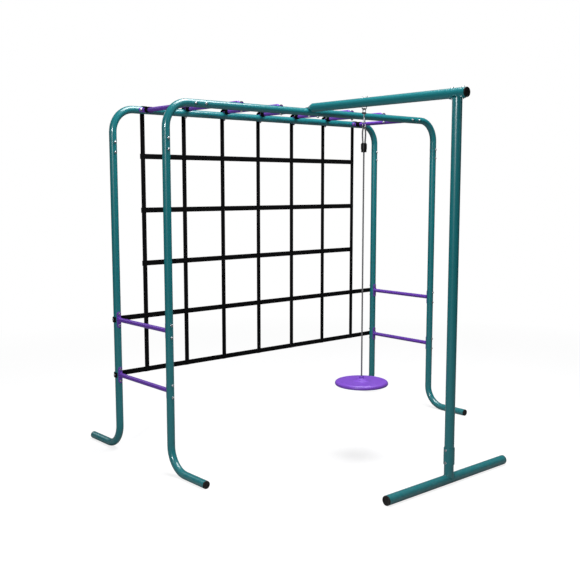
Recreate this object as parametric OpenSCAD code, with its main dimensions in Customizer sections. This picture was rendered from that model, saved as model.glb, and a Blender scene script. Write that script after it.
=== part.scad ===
// Free-standing steel climbing frame: seven overhead rungs on two bent portal
// frames, a webbing climbing net on the back frame and a disc swing that hangs
// from a side arm on its own post.
// X runs along the top rails, Y from the swing post towards the net, Z up.

/* [Frame] */
// Distance between the leg axes along the rails
frame_width = 2112; // [2000:2:2200]
// Distance between the axes of the front and back frames
frame_depth = 537; // [500:1:600]
// Height of the top rail axis above the ground
rail_height = 1950; // [1900:5:2000]
// Outer diameter of the frame tubes
tube_od = 42; // [40:0.5:44]
// Wall thickness of every steel tube
tube_wall = 2; // [1.5:0.1:2.5]
// Centreline radius of the top corner bends
corner_r = 130; // [120:5:150]
// Centreline radius of the foot bends
foot_r = 130; // [120:5:150]
// Length of a foot from the leg axis to the face of its end cap
foot_length = 320; // [300:1:360]
// Height of the seam where the top tube plugs into the legs
seam_height = 1775; // [1750:5:1790]

/* [Rungs and side rails] */
// Distance between neighbouring rungs
rung_pitch = 284; // [270:1:290]
// Outer diameter of the rungs and side rails
rung_od = 25; // [24:0.5:26]
// Height of the lower side rails and of the lowest net row
low_rail_height = 448; // [420:1:480]
// Height of the upper side rails and of the net row behind them
high_rail_height = 768; // [740:1:790]
// Length of a saddle plate
saddle_length = 94; // [90:1:100]
// Distance between the two bolts of a saddle plate
saddle_bolt_span = 66; // [64:1:70]

/* [Net] */
// Width of the webbing
strap_width = 30; // [24:1:32]
// Thickness of the webbing
strap_thick = 2.5; // [2:0.1:3]
// Distance between the upper net rows
net_row_pitch = 308; // [290:1:310]

/* [Swing arm] */
// Outer diameter of the arm, post and cross foot
arm_od = 50; // [48:0.5:52]
// Sideways place of the arm, from the middle rung
arm_x = -69; // [-72:1:-66]
// Height of the arm axis above the ground
arm_height = 1973; // [1971:1:1975]
// Reach of the arm from the middle of the frame to its end cap
arm_reach = 1400; // [1360:5:1440]
// Distance from the middle of the frame to the post axis
post_reach = 1340; // [1300:5:1345]
// Length of the cross foot over its end caps
cross_foot_length = 950; // [800:10:1100]

/* [Swing] */
// Distance from the middle of the frame to the swing
swing_reach = 712; // [690:1:730]
// Diameter of the disc seat
disc_d = 300; // [280:1:320]
// Height of the seat's upper face above the ground
seat_height = 432; // [400:1:450]
// Diameter of the rope
rope_d = 9; // [8:0.5:10]

/* [Hidden] */
$fn = 64;

teal = [0.07, 0.36, 0.38];
purple = [0.38, 0.22, 0.66];
black = [0.04, 0.04, 0.04];
zinc = [0.72, 0.73, 0.74];
grey_rope = [0.42, 0.42, 0.43];

// Frame tubes
tube_r = tube_od / 2;
bore_r = tube_r - tube_wall;
joint_gap = 0.2;             // radial gap of every plugged tube joint
swage_r = bore_r - joint_gap;
swage_length = 95;
swage_neck = 8;              // narrow bore above the seam
leg_x = frame_width / 2;
cut = 2;                     // how far a cutting tool runs past the face it opens
// The origin lies under the middle of the whole footprint, so the frame's own
// middle sits half the difference of the two reaches towards the net.
frame_y = (arm_reach - frame_depth / 2 - foot_length) / 2;
front_y = frame_y - frame_depth / 2;
back_y = frame_y + frame_depth / 2;
// End caps
cap_flange = 6;
cap_edge_r = 3;
cap_spigot = 12;
// M8 fasteners
bolt_r = 4;
hole_r = 4.4;
head_r = 7.25;
head_h = 4;
nut_across = 13;
nut_h = 5;
nut_dome = 4.5;
thread_gap = 0.05;
joint_bolt_z = seam_height - 38;
joint_bolt_half = 28;
joint_bolt_heights = [joint_bolt_z - joint_bolt_half, joint_bolt_z + joint_bolt_half];
// Saddle plates
plate_t = 3;
seat_gap = 0.1;              // gap between a plate and the tube that it sits on
plate_r = tube_r + seat_gap + plate_t;
saddle_width = 26;
saddle_half = saddle_bolt_span / 2;
rail_r = rung_od / 2;
// Rungs with flattened ends
ear_t = 3.2;
ear_r = rail_r - 1;
flat_start = 18;             // from the rail axis to where the flat ear begins
flat_end = 29;               // from the rail axis to where the tube is round again
rung_z = rail_height + tube_r + ear_t / 2;
rung_bolt_cap_r = 8.6;
rung_bolt_cap_h = 6.5;
// Net
rail_heights = [low_rail_height, high_rail_height];
upright_gap = 0.5;             // between a rail and the strap that hangs behind it
upright_y = tube_r + upright_gap;
row_y = upright_y + strap_thick;
loop_r = rail_r + seat_gap;
loop_out_r = loop_r + strap_thick;
sewn = 1;                    // how deep a strap is sewn into its end loop
bend_step = 4;               // angle of one facet of a bent strap
loop_start = plate_r + 3;    // from a tube axis to the near edge of an end loop
mid_loop_start = tube_r + 1;
row_heights = [
    high_rail_height + 3 * net_row_pitch,
    high_rail_height + 2 * net_row_pitch,
    high_rail_height + net_row_pitch,
    high_rail_height,
    low_rail_height,
];
row_wrap = 130;               // how far a lower row turns round a leg
hem_wrap = 40;                // half the turn that its doubled end covers
screw_r = 2.5;
net_side = 3 * rung_pitch + strap_width / 2 + 2;
// Arm, post and cross foot
arm_r = arm_od / 2;
arm_bore_r = arm_r - tube_wall;
arm_end_y = frame_y - arm_reach;
post_y = frame_y - post_reach;
arm_plate_r = arm_r + seat_gap + plate_t;
wide_saddle = 40;
tab_t = 5;                   // flat tab at the arm's inner end, lying on the front rail
tab_r = 22;
tab_start = 12;              // from the rail axis to where the tab widens into the arm
arm_start = 34;              // from the rail axis to the arm's first round section
sleeve_wall = 3.3;
sleeve_bottom = 104;
sleeve_top = 190;
sleeve_mid = (sleeve_bottom + sleeve_top) / 2;
// Swing hardware, as heights above the ground
swing_y = frame_y - swing_reach;
arm_under = arm_height - arm_r;
u_rod = 3;
u_half = 16.5;
u_bend = 11;
side_pivot = arm_under - 12.5;       // axis of the U bolt's lowest wire
bow_rod = 2.5;
bow_half = 10;
bow_gap = 0.3;
bow_centre = side_pivot + u_rod + bow_gap + bow_rod - bow_half;
fore_pivot = side_pivot - 20;        // axis of the shackle pin
pin_r = 2.5;
pin_gap = 0.08;
lug_r = 5;
eye_r = 6.5;
stem_r = 3;
button_r = 4.5;
collar_r = 6.5;
collar_top = fore_pivot - 34;
collar_h = 14;
button_z = collar_top - 10;          // lower face of the stem's button
hook_rod = 2.75;
hook_half = 11;
hook_low = side_pivot - 100;         // axis of the hook's lowest wire
hook_high = collar_top - collar_h - hook_half - hook_rod + 2;
gate_z = hook_low + hook_half - 1;   // axis of the gate's rivet
gate_end = hook_high - 2;            // where the fixed nose of the hook begins
gate_rod = 1.5;
// Rope adjuster, seat and knot
adjuster_top = hook_low - 80;
adjuster_h = 50;
adjuster_low = adjuster_top - adjuster_h;
rope_r = rope_d / 2;
rope_gap = 0.3;
over_hook_r = 8.5;            // bend of the rope over the hook's wire
strand_y = 8;                 // from the middle of the adjuster to each strand's bore
seat_thick = 24;
seat_low = seat_height - seat_thick;
hub_h = 28;
dome_r = 95;
dome_h = 12;
collar_out_r = 13;
knot_r = 13;
knot_z = seat_low - knot_r - 0.2;

// Moves the drawing to a point over the row's ground plan
module at(x, y, z = 0) translate([x, y, z]) children();

// Turns +Z to -Y, +Y or +X
module facing_front() rotate([90, 0, 0]) children();
module facing_back() rotate([-90, 0, 0]) children();
module facing_right() rotate([0, 90, 0]) children();

// A round bend in the Y-Z plane, from a downward run to a run towards -Y
module bend_to_front(r, tube)
    translate([0, -r, 0]) rotate([90, 0, 90]) rotate([0, 0, -90])
        rotate_extrude(angle = 90) translate([r, 0]) circle(tube);

// A round bend in the X-Z plane, from an upward run to a run towards +X
module bend_to_right(r, tube)
    translate([r, 0, 0]) rotate([90, 0, 0]) rotate([0, 0, 90])
        rotate_extrude(angle = 90) translate([r, 0]) circle(tube);

// Leg, bend and foot as one rod, with its foot towards -Y
module leg_rod(r, past) {
    top = tube_r + foot_r;
    at(0, 0, top) cylinder(r = r, h = seam_height + past - top);
    at(0, 0, top) bend_to_front(foot_r, r);
    at(0, -foot_r, tube_r) facing_front()
        cylinder(r = r, h = foot_length - cap_flange + past - foot_r);
}

// A leg with its bolt holes, foot towards -Y
module leg() color(teal) difference() {
    leg_rod(tube_r, 0);
    leg_rod(bore_r, cut);
    for (z = joint_bolt_heights) cross_hole(z);
    for (rail = rail_heights, side = [-1, 1]) cross_hole(rail + side * saddle_half);
}

// A bolt hole through an upright tube, along Y
module cross_hole(z) at(0, tube_r + cut, z) facing_front()
    cylinder(r = hole_r, h = tube_od + 2 * cut);

// Half of the top tube as one rod: stub, corner bend and half rail
module top_half_rod(r, stub_r, stub_end, past) {
    bend_z = rail_height - corner_r;
    at(-leg_x, 0, seam_height - swage_length - past)
        cylinder(r = stub_r, h = swage_length + past + stub_end);
    at(-leg_x, 0, seam_height + stub_end) cylinder(r = r, h = bend_z - seam_height - stub_end);
    at(-leg_x, 0, bend_z) bend_to_right(corner_r, r);
    at(-leg_x + corner_r, 0, rail_height) facing_right()
        cylinder(r = r, h = leg_x - corner_r);
}

// The bent top tube of one frame; children are cut out of it
module top_tube() color(teal) difference() {
    for (side = [0, 1]) mirror([side, 0, 0]) top_half_rod(tube_r, swage_r, 0, 0);
    for (side = [0, 1]) mirror([side, 0, 0])
        top_half_rod(bore_r, swage_r - tube_wall, swage_neck, cut);
    for (side = [-1, 1], z = joint_bolt_heights) at(side * leg_x, 0) cross_hole(z);
    for (side = [-1, 1], step = [-1, 1])
        at(side * 3 * rung_pitch + step * saddle_half, 0) cross_hole(rail_height);
    for (i = [-2 : 2]) at(i * rung_pitch, 0, rail_height - tube_r - cut)
        cylinder(r = hole_r, h = tube_od + 2 * cut);
    children();
}

// M8 bolt whose head sits at the origin and whose shank runs down -Z
module bolt(grip) color(zinc) {
    rotate_extrude() intersection() {
        translate([0, head_h - head_r * 1.6]) circle(head_r * 1.6);
        square([head_r, head_h]);
    }
    translate([0, 0, -grip - nut_h]) cylinder(r = bolt_r, h = grip + nut_h + 0.5);
}

// Domed cap nut whose face sits at the origin, opening towards +Z
module cap_nut() color(zinc) mirror([0, 0, 1]) difference() {
    union() {
        cylinder(d = nut_across / cos(30), h = nut_h, $fn = 6);
        translate([0, 0, nut_h]) rotate_extrude() intersection() {
            translate([0, nut_dome - 7]) circle(7);
            square([nut_across / 2 - 0.5, nut_dome]);
        }
    }
    translate([0, 0, -cut]) cylinder(r = bolt_r + thread_gap, h = nut_h + cut + 1);
}

// Back leg with the holes of the two net screws in its outer side
module drilled_leg(side) difference() {
    leg();
    for (z = rail_heights) at(side * tube_r, 0, z)
        rotate([0, 90, 0]) cylinder(r = screw_r + 0.1, h = 10, center = true);
}

// Long plate outline with round ends, along Y
module stadium(length, width) union() {
    for (side = [-1, 1]) translate([0, side * (length - width) / 2]) circle(d = width);
    square([width, length - width], center = true);
}

// Curved saddle plate on the +Y side of an upright tube of radius r
module saddle_plate(r, width) difference() {
    intersection() {
        cylinder(r = r + seat_gap + plate_t, h = saddle_length + cut, center = true);
        facing_back() linear_extrude(r + seat_gap + plate_t + cut)
            stadium(saddle_length, width);
    }
    cylinder(r = r + seat_gap, h = saddle_length + 2 * cut, center = true);
    for (side = [-1, 1]) at(0, 0, side * saddle_half) facing_back()
        cylinder(r = hole_r, h = 2 * r);
}

// Rail between two upright tubes, from the front one at y = 0, with a saddle
// plate welded on each end
module saddle_rail() color(purple) {
    difference() {
        union() {
            facing_back() cylinder(r = rail_r, h = frame_depth);
            saddle_plate(tube_r, saddle_width);
            at(0, frame_depth) mirror([0, 1, 0]) saddle_plate(tube_r, saddle_width);
        }
        for (y = [0, frame_depth]) at(0, y)
            cylinder(r = tube_r + seat_gap, h = 2 * saddle_length, center = true);
        at(0, plate_r) facing_back()
            cylinder(r = rail_r - tube_wall, h = frame_depth - 2 * plate_r);
    }
}

// First or last rung: a saddle rail laid between the two top rails
module end_rung(x) at(x, front_y, rail_height) rotate([0, 90, 0]) saddle_rail();

// Flattened rung end: an ear on the rail's top and the squeezed stretch of tube
module rung_end() difference() {
    union() {
        translate([0, 0, -ear_t / 2]) cylinder(r = ear_r, h = ear_t);
        translate([-ear_r, 0, -ear_t / 2]) cube([2 * ear_r, flat_start, ear_t]);
        hull() {
            translate([-ear_r, flat_start, -ear_t / 2]) cube([2 * ear_r, 0.5, ear_t]);
            at(0, flat_end - 0.5) facing_back()
                cylinder(r = rail_r - 0.05, h = 0.5, $fn = 32);
        }
    }
    cylinder(r = hole_r, h = 2 * ear_t, center = true);
}

// Middle rung: a tube whose flattened ends lie on the two top rails
module rung(x) color(purple) at(x, front_y, rung_z) {
    rung_end();
    at(0, frame_depth) mirror([0, 1, 0]) rung_end();
    difference() {
        at(0, flat_end - 0.5) facing_back()
            cylinder(r = rail_r, h = frame_depth - 2 * flat_end + 1);
        at(0, flat_end) facing_back()
            cylinder(r = rail_r - tube_wall, h = frame_depth - 2 * flat_end);
    }
}

// Side rail between the front and back leg of one end
module side_rail(side, height) at(side * leg_x, front_y, height) saddle_rail();

// Points and headings along the inner face of a ribbon of webbing, from a list
// of steps. A step is [length, 0] for a straight run, or [inner radius, angle]
// for a bend whose angle is positive to the left
function lane(steps, at = [0, 0], heading = 90, i = 0) = i == len(steps)
    ? [[at, heading]]
    : let (size = steps[i][0], turn = steps[i][1],
           way = [cos(heading), sin(heading)], left = [-way[1], way[0]],
           r = turn > 0 ? size : -size - strap_thick,
           count = turn == 0 ? 1 : ceil(abs(turn) / bend_step),
           hub = at + left * r)
      concat(
        [for (k = [0 : count - 1]) turn == 0 ? [at, heading]
            : [hub - r * [cos(heading + 90 + turn * k / count),
                          sin(heading + 90 + turn * k / count)],
               heading + turn * k / count]],
        lane(steps,
             turn == 0 ? at + way * size
                 : hub - r * [cos(heading + 90 + turn), sin(heading + 90 + turn)],
             heading + turn, i + 1));

// Outer face points of a ribbon: the inner face moved out by the thickness
function outer(points) = [for (p = points)
    p[0] + strap_thick * [sin(p[1]), -cos(p[1])]];
function inner(points) = [for (p = points) p[0]];
function reversed(list) = [for (k = [len(list) - 1 : -1 : 0]) list[k]];
function mirrored(list) = [for (p = list) [p[0], -p[1]]];

// A ribbon drawn in the plane, heading +Y with its inner face on x = 0
module ribbon(steps) {
    points = lane(steps);
    polygon(concat(inner(points), reversed(outer(points))));
}

// The same ribbon joined to its mirror image across the X axis
module double_ribbon(steps) {
    points = lane(steps);
    in_side = [for (k = [1 : len(points) - 1]) inner(points)[k]];
    out_side = [for (k = [1 : len(points) - 1]) outer(points)[k]];
    polygon(concat(reversed(mirrored(in_side)), in_side,
                   reversed(out_side), mirrored(out_side)));
}

// Steps of a ribbon that runs straight for `run`, wraps a tube at radius r and
// lands on a loop whose near edge is at `start` and whose side is `rise` from
// the tube axis
function wrap_steps(run, r, start, rise) =
    let (far = norm([start, rise]))
    let (lean = acos(r / far))
    let (arc = 180 - atan2(rise, start) - lean)
    [[run, 0], [r, arc], [sqrt(far * far - r * r), 0],
     [4, 90 - arc], [strap_width + 4, 0]];

// Net upright number i, hung over the back rail and looped on its rung
module net_upright(i) {
    x = (i - 4) * rung_pitch;
    low = low_rail_height - strap_width / 2;
    is_end = abs(i - 4) == 3;
    run = rail_height - low;
    hook_r = 24;
    hook_top = rung_z - rail_height + loop_out_r - sewn;
    steps = is_end
        ? wrap_steps(run, upright_y, loop_start, loop_out_r - sewn)
        : [[run + hook_top - hook_r, 0], [hook_r, 90],
           [mid_loop_start + strap_width + upright_y - hook_r, 0]];
    loop_y = is_end ? loop_start : mid_loop_start;
    color(black) {
        at(x - strap_width / 2, back_y, low) rotate([90, 0, 90])
            linear_extrude(strap_width) translate([upright_y, 0]) ribbon(steps);
        at(x, back_y - loop_y, is_end ? rail_height : rung_z) end_loop();
    }
}

// Sewn loop around a rail that runs along Y, from y = 0 towards -Y
module end_loop() facing_front() difference() {
    cylinder(r = loop_out_r, h = strap_width);
    translate([0, 0, -cut]) cylinder(r = loop_r, h = strap_width + 2 * cut);
}

// One of the three upper rows, sewn across the seven uprights
module net_row(i) color(black)
    at(-net_side, back_y + row_y, row_heights[i - 1] - strap_width / 2)
        cube([2 * net_side, strap_thick, strap_width]);

// One of the two lower rows, wrapped round the outer sides of both back legs,
// where its doubled ends are screwed on
module wrapped_row(i) color(black) at(0, back_y, row_heights[i - 1]) difference() {
    at(0, 0, -strap_width / 2) linear_extrude(strap_width) {
        rotate(90) translate([row_y, 0]) double_ribbon([[leg_x, 0], [row_y, row_wrap]]);
        for (side = [-1, 1]) translate([side * leg_x, 0]) mirror([1 - side, 0]) hem();
    }
    for (side = [-1, 1]) at(side * (leg_x + tube_r), 0)
        rotate([0, 90, 0]) cylinder(r = screw_r + 0.1, h = 20, center = true);
}

// Folded inner layer of a lower row's right end, round a leg at the origin
module hem() {
    turns = [for (k = [0 : 4 : 2 * hem_wrap]) 90 - row_wrap + k];
    polygon(concat(
        [for (t = turns) upright_y * [cos(t), sin(t)]],
        [for (t = reversed(turns)) (row_y + 0.8) * [cos(t), sin(t)]]));
}

// Screws that hold the lower rows on the legs
module net_screws() color(zinc)
    for (side = [-1, 1], z = rail_heights) at(side * leg_x, back_y, z)
        rotate([0, 90 * side, 0]) {
            at(0, 0, row_y + strap_thick) cylinder(r = 7, h = 1.2);
            at(0, 0, row_y + strap_thick + 1) cylinder(r = 4.2, h = 2.6);
            at(0, 0, tube_r - 6) cylinder(r = screw_r, h = row_y + strap_thick - tube_r + 7);
        }

// The swing arm, flattened at its inner end into a tab on the front rail
module swing_arm() color(teal) difference() {
    union() {
        at(arm_x, front_y - arm_start, arm_height) facing_front()
            cylinder(r = arm_r, h = front_y - arm_start - arm_end_y - cap_flange);
        at(arm_x, front_y, rail_height + tube_r) {
            cylinder(r = tab_r, h = tab_t);
            translate([-tab_r, -tab_start, 0]) cube([2 * tab_r, tab_start, tab_t]);
            hull() {
                translate([-tab_r, -tab_start, 0]) cube([2 * tab_r, 1, tab_t]);
                at(0, 0.5 - arm_start, arm_height - rail_height - tube_r) facing_front()
                    cylinder(r = arm_r, h = 1, $fn = 48);
            }
        }
    }
    at(arm_x, front_y - arm_start - 3, arm_height) facing_front()
        cylinder(r = arm_bore_r, h = arm_reach);
    at(arm_x, front_y, rail_height) cylinder(r = hole_r, h = 2 * tube_od);
    at(arm_x, post_y, arm_height) for (side = [-1, 1])
        at(0, side * saddle_half) cylinder(r = hole_r, h = 2 * arm_od, center = true);
    for (side = [-1, 1]) at(arm_x, swing_y + side * u_half, arm_height)
        cylinder(r = u_rod + 0.4, h = 2 * arm_od, center = true);
}

// The post with the saddle plate that carries the arm
module swing_post() color(teal) at(arm_x, post_y) difference() {
    union() {
        at(0, 0, sleeve_mid + 0.5)
            cylinder(r = arm_r, h = arm_height - sleeve_mid - arm_bore_r);
        at(0, 0, arm_height) rotate([-90, 0, 0]) saddle_plate(arm_r, wide_saddle);
    }
    at(0, arm_reach, arm_height) facing_front()
        cylinder(r = arm_r + seat_gap, h = 2 * arm_reach);
    cylinder(r = arm_bore_r, h = arm_height);
    at(-arm_od, 0, sleeve_mid + saddle_half) facing_right()
        cylinder(r = hole_r, h = 2 * arm_od);
}

// Sleeve that joins the post to the stub of the cross foot
module post_sleeve() color(teal) at(arm_x, post_y, sleeve_bottom) difference() {
    cylinder(r = arm_r + joint_gap + sleeve_wall, h = sleeve_top - sleeve_bottom);
    translate([0, 0, -cut])
        cylinder(r = arm_r + joint_gap, h = sleeve_top - sleeve_bottom + 2 * cut);
    for (side = [-1, 1])
        at(-arm_od, 0, sleeve_mid - sleeve_bottom + side * saddle_half) facing_right()
            cylinder(r = hole_r, h = 2 * arm_od);
}

// Ground tube under the post with its welded stub
module cross_foot() color(teal) at(arm_x, post_y) difference() {
    half = cross_foot_length / 2 - cap_flange;
    union() {
        at(-half, 0, arm_r) facing_right() cylinder(r = arm_r, h = 2 * half);
        at(0, 0, arm_r) cylinder(r = arm_r, h = sleeve_mid - 0.5 - arm_r);
    }
    at(-half - cut, 0, arm_r) facing_right()
        cylinder(r = arm_bore_r, h = 2 * half + 2 * cut);
    at(0, 0, arm_r) cylinder(r = arm_bore_r, h = sleeve_mid);
    at(-arm_od, 0, sleeve_mid - saddle_half) facing_right()
        cylinder(r = hole_r, h = 2 * arm_od);
}

// Plastic end cap for a tube of outer radius r, spigot towards -Z
module end_cap(r) color(black) {
    rotate_extrude() difference() {
        union() {
            square([r - cap_edge_r, cap_flange]);
            square([r, cap_flange - cap_edge_r]);
            translate([r - cap_edge_r, cap_flange - cap_edge_r]) circle(cap_edge_r);
            translate([0, -cap_spigot])
                square([r - tube_wall - joint_gap, cap_spigot + 0.5]);
        }
        translate([0, -cap_spigot - cut])
            square([r - 3 * tube_wall, cap_spigot + cut]);
        translate([0, cap_flange - 1]) square([r / 3, 2]);
    }
}

// Caps in the four feet of the two frames
module foot_end_caps() for (side = [-1, 1], end = [-1, 1])
    at(side * leg_x, frame_y + end * (frame_depth / 2 + foot_length - cap_flange), tube_r)
        rotate([-90 * end, 0, 0]) end_cap(tube_r);

// Caps in the cross foot and in the outer end of the arm
module large_end_caps() {
    at(arm_x, arm_end_y + cap_flange, arm_height) facing_front() end_cap(arm_r);
    for (side = [-1, 1])
        at(arm_x + side * (cross_foot_length / 2 - cap_flange), post_y, arm_r)
            rotate([0, 90 * side, 0]) end_cap(arm_r);
}

// Places children at every leg joint, with +Z towards -Y out of the tube
module at_leg_joints() for (side = [-1, 1], y = [front_y, back_y], z = joint_bolt_heights)
    at(side * leg_x, y, z) facing_front() children();

// Places children at every side rail bolt, with +Z towards the middle of the rail
module at_side_rail_bolts()
    for (side = [-1, 1], end = [-1, 1], z = rail_heights, step = [-1, 1])
        at(side * leg_x, frame_y + end * frame_depth / 2, z + step * saddle_half)
            rotate([90 * end, 0, 0]) children();

// Places children at every end rung bolt, with +Z towards the middle of the rung
module at_end_rung_bolts() for (side = [-1, 1], end = [-1, 1], step = [-1, 1])
    at(side * 3 * rung_pitch + step * saddle_half,
       frame_y + end * frame_depth / 2, rail_height)
        rotate([90 * end, 0, 0]) children();

// Places children at the bolts of the middle rungs, on the rail axis
module at_rung_bolts() for (i = [-2 : 2], y = [front_y, back_y])
    at(i * rung_pitch, y, rail_height) children();

// Places children at the arm's rail bolt, at the post's two saddle bolts and at
// the two sleeve bolts, with +Z towards the heads
module at_tab_bolt() at(arm_x, front_y, rail_height) children();
module at_post_bolts() for (step = [-1, 1])
    at(arm_x, post_y + step * saddle_half, arm_height) children();
module at_sleeve_bolts() for (step = [-1, 1])
    at(arm_x, post_y, sleeve_mid + step * saddle_half) rotate([0, -90, 0]) children();

// A bolt and a nut on opposite sides of a tube: rh and rn are the distances of
// the faces that they clamp from the tube axis
module bolt_over(rh, rn) translate([0, 0, rh]) bolt(rh + rn);
module nut_under(rn) translate([0, 0, -rn]) cap_nut();

module leg_joint_bolts() at_leg_joints() mirror([0, 0, 1]) bolt_over(tube_r, tube_r);
module leg_joint_nuts() at_leg_joints() mirror([0, 0, 1]) nut_under(tube_r);
module side_rail_bolts() at_side_rail_bolts() bolt_over(plate_r, tube_r);
module side_rail_nuts() at_side_rail_bolts() nut_under(tube_r);
module end_rung_bolts() at_end_rung_bolts() bolt_over(plate_r, tube_r);
module end_rung_nuts() at_end_rung_bolts() nut_under(tube_r);
module rung_bolts() at_rung_bolts() bolt_over(tube_r + ear_t, tube_r);
module rung_nuts() at_rung_bolts() nut_under(tube_r);

// Soft cover that snaps over a bolt head on a rung's ear
module rung_bolt_caps() color(black) at_rung_bolts() at(0, 0, tube_r + ear_t)
    rotate_extrude() difference() {
        intersection() {
            translate([0, rung_bolt_cap_h - 12]) circle(12);
            square([rung_bolt_cap_r, rung_bolt_cap_h]);
        }
        square([head_r + 0.2, head_h + 0.3]);
    }

module arm_bolts() {
    at_tab_bolt() bolt_over(tube_r + tab_t, tube_r);
    at_post_bolts() mirror([0, 0, 1]) bolt_over(arm_plate_r, arm_r);
    at_sleeve_bolts() bolt_over(arm_r + joint_gap + sleeve_wall,
                                arm_r + joint_gap + sleeve_wall);
}

module arm_nuts() {
    at_tab_bolt() nut_under(tube_r);
    at_post_bolts() mirror([0, 0, 1]) nut_under(arm_r);
    at_sleeve_bolts() nut_under(arm_r + joint_gap + sleeve_wall);
}

// U bolt through the arm that the swing hangs from
module swing_u_bolt() color(zinc) at(arm_x, swing_y, side_pivot) {
    straight = u_half - u_bend;
    at(0, -straight) facing_back() cylinder(r = u_rod, h = 2 * straight);
    for (side = [-1, 1]) {
        at(0, side * straight, u_bend) rotate([90, 0, 90]) rotate(side > 0 ? -90 : 180)
            rotate_extrude(angle = 90) translate([u_bend, 0]) circle(u_rod);
        at(0, side * u_half, u_bend)
            cylinder(r = u_rod, h = arm_height + arm_r - side_pivot - u_bend + 7.5);
    }
}

// Nuts of the U bolt on top of the arm
module u_bolt_nuts() color(zinc) for (side = [-1, 1])
    at(arm_x, swing_y + side * u_half, arm_height + arm_r) difference() {
        cylinder(d = 10 / cos(30), h = nut_h + 1, $fn = 6);
        translate([0, 0, -cut]) cylinder(r = u_rod + thread_gap, h = nut_h + 3 * cut);
    }

// Bow shackle that hangs in the U bolt, with two lugs for its pin
module shackle() color(zinc) at(arm_x, swing_y) difference() {
    union() {
        at(0, 0, bow_centre) rotate([90, 0, 0])
            rotate_extrude(angle = 180) translate([bow_half, 0]) circle(bow_rod);
        for (side = [-1, 1]) {
            at(side * bow_half, 0, fore_pivot)
                cylinder(r = bow_rod, h = bow_centre - fore_pivot);
            at(side * bow_half - bow_rod, 0, fore_pivot) facing_right()
                cylinder(r = lug_r, h = 2 * bow_rod);
        }
    }
    at(-2 * bow_half, 0, fore_pivot) facing_right()
        cylinder(r = pin_r + thread_gap, h = 4 * bow_half);
}

// Screwed pin of the shackle
module shackle_pin() color(zinc) at(arm_x - bow_half - bow_rod, swing_y, fore_pivot)
    facing_right() {
        cylinder(r = pin_r, h = 2 * (bow_half + bow_rod) + 2);
        translate([0, 0, -3.2]) cylinder(r = 4.5, h = 3.2);
    }

// Eye on the shackle pin, with the button-headed stem that the hook turns on
module swivel_eye() color(zinc) at(arm_x, swing_y) difference() {
    union() {
        at(-5, 0, fore_pivot) facing_right() cylinder(r = eye_r, h = 10);
        at(0, 0, button_z) cylinder(r = stem_r, h = fore_pivot - 4 - button_z);
        at(0, 0, button_z) cylinder(r = button_r, h = 4);
    }
    at(-10, 0, fore_pivot) facing_right() cylinder(r = pin_r + pin_gap, h = 20);
}

// Hook body: hollow collar round the stem and an oval loop, open on the gate side
module snap_hook() color(zinc) at(arm_x, swing_y) difference() {
    union() {
        at(0, 0, collar_top - collar_h) cylinder(r = collar_r, h = collar_h);
        at(0, 0, hook_high) rotate([90, 0, 0])
            rotate_extrude(angle = 180) translate([hook_half, 0]) circle(hook_rod);
        at(hook_half, 0, hook_low + hook_half)
            cylinder(r = hook_rod, h = hook_high - hook_low - hook_half);
        at(0, 0, hook_low + hook_half) rotate([90, 0, 0]) rotate([0, 0, 180])
            rotate_extrude(angle = 180) translate([hook_half, 0]) circle(hook_rod);
        at(-hook_half, 0, gate_end) cylinder(r = hook_rod, h = hook_high - gate_end);
        at(-hook_half, -3.6, gate_z) facing_back() cylinder(r = 3.6, h = 7.2);
    }
    at(0, 0, button_z - 0.4) cylinder(r = button_r + 0.2, h = 4.8);
    at(0, 0, button_z) cylinder(r = stem_r + 0.2, h = collar_h);
    at(-hook_half - 6, -1.7, gate_z - 3) cube([12, 3.4, 11]);
    at(-hook_half, -10, gate_z) facing_back() cylinder(r = 1.25, h = 20);
}

// Sprung gate of the hook with its rivet
module hook_gate() color(zinc) at(arm_x - hook_half, swing_y, gate_z) {
    at(0, 0, 1.5) cylinder(r = gate_rod, h = gate_end - gate_z - 1.8);
    at(0, -1.5, 0) facing_back() cylinder(r = 2.6, h = 3);
    at(0, -3.6, 0) facing_back() cylinder(r = 1.15, h = 7.2);
}

// Route of the rope from its end inside the adjuster, over the hook, back
// through the adjuster and down to the knot under the seat
rope_route = concat(
    [[-strand_y, adjuster_low + 26], [-strand_y, adjuster_low + 38]],
    [[-strand_y, adjuster_top], [-9.3, adjuster_top + 12], [-11.2, adjuster_top + 32]],
    [[-11.8, adjuster_top + 50], [-10.8, adjuster_top + 66]],
    [for (a = [202.5 : -22.5 : -22.5]) [over_hook_r * cos(a), hook_low + over_hook_r * sin(a)]],
    [[10.8, adjuster_top + 66], [11.8, adjuster_top + 50], [11.2, adjuster_top + 32]],
    [[9.3, adjuster_top + 12], [strand_y, adjuster_top], [strand_y, adjuster_top - 8]],
    [[5.5, adjuster_top - 20], [1.8, adjuster_low + 20], [0, adjuster_low + 8]],
    [for (i = [0 : 40])
        [0, adjuster_low - 4 - i * (adjuster_low - 4 - seat_low + 0.1) / 40]]
);
rope_sides = 10;
rope_turns = [for (i = [0 : len(rope_route) - 1])
    let (a = rope_route[max(i - 1, 0)], b = rope_route[min(i + 1, len(rope_route) - 1)])
    atan2(b[0] - a[0], b[1] - a[1])];
rope_points = [for (i = [0 : len(rope_route) - 1], k = [0 : rope_sides - 1])
    let (around = 360 * k / rope_sides, out = rope_r * cos(around))
    [rope_route[i][0] + out * cos(rope_turns[i]), rope_r * sin(around),
     rope_route[i][1] - out * sin(rope_turns[i])]];

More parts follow.
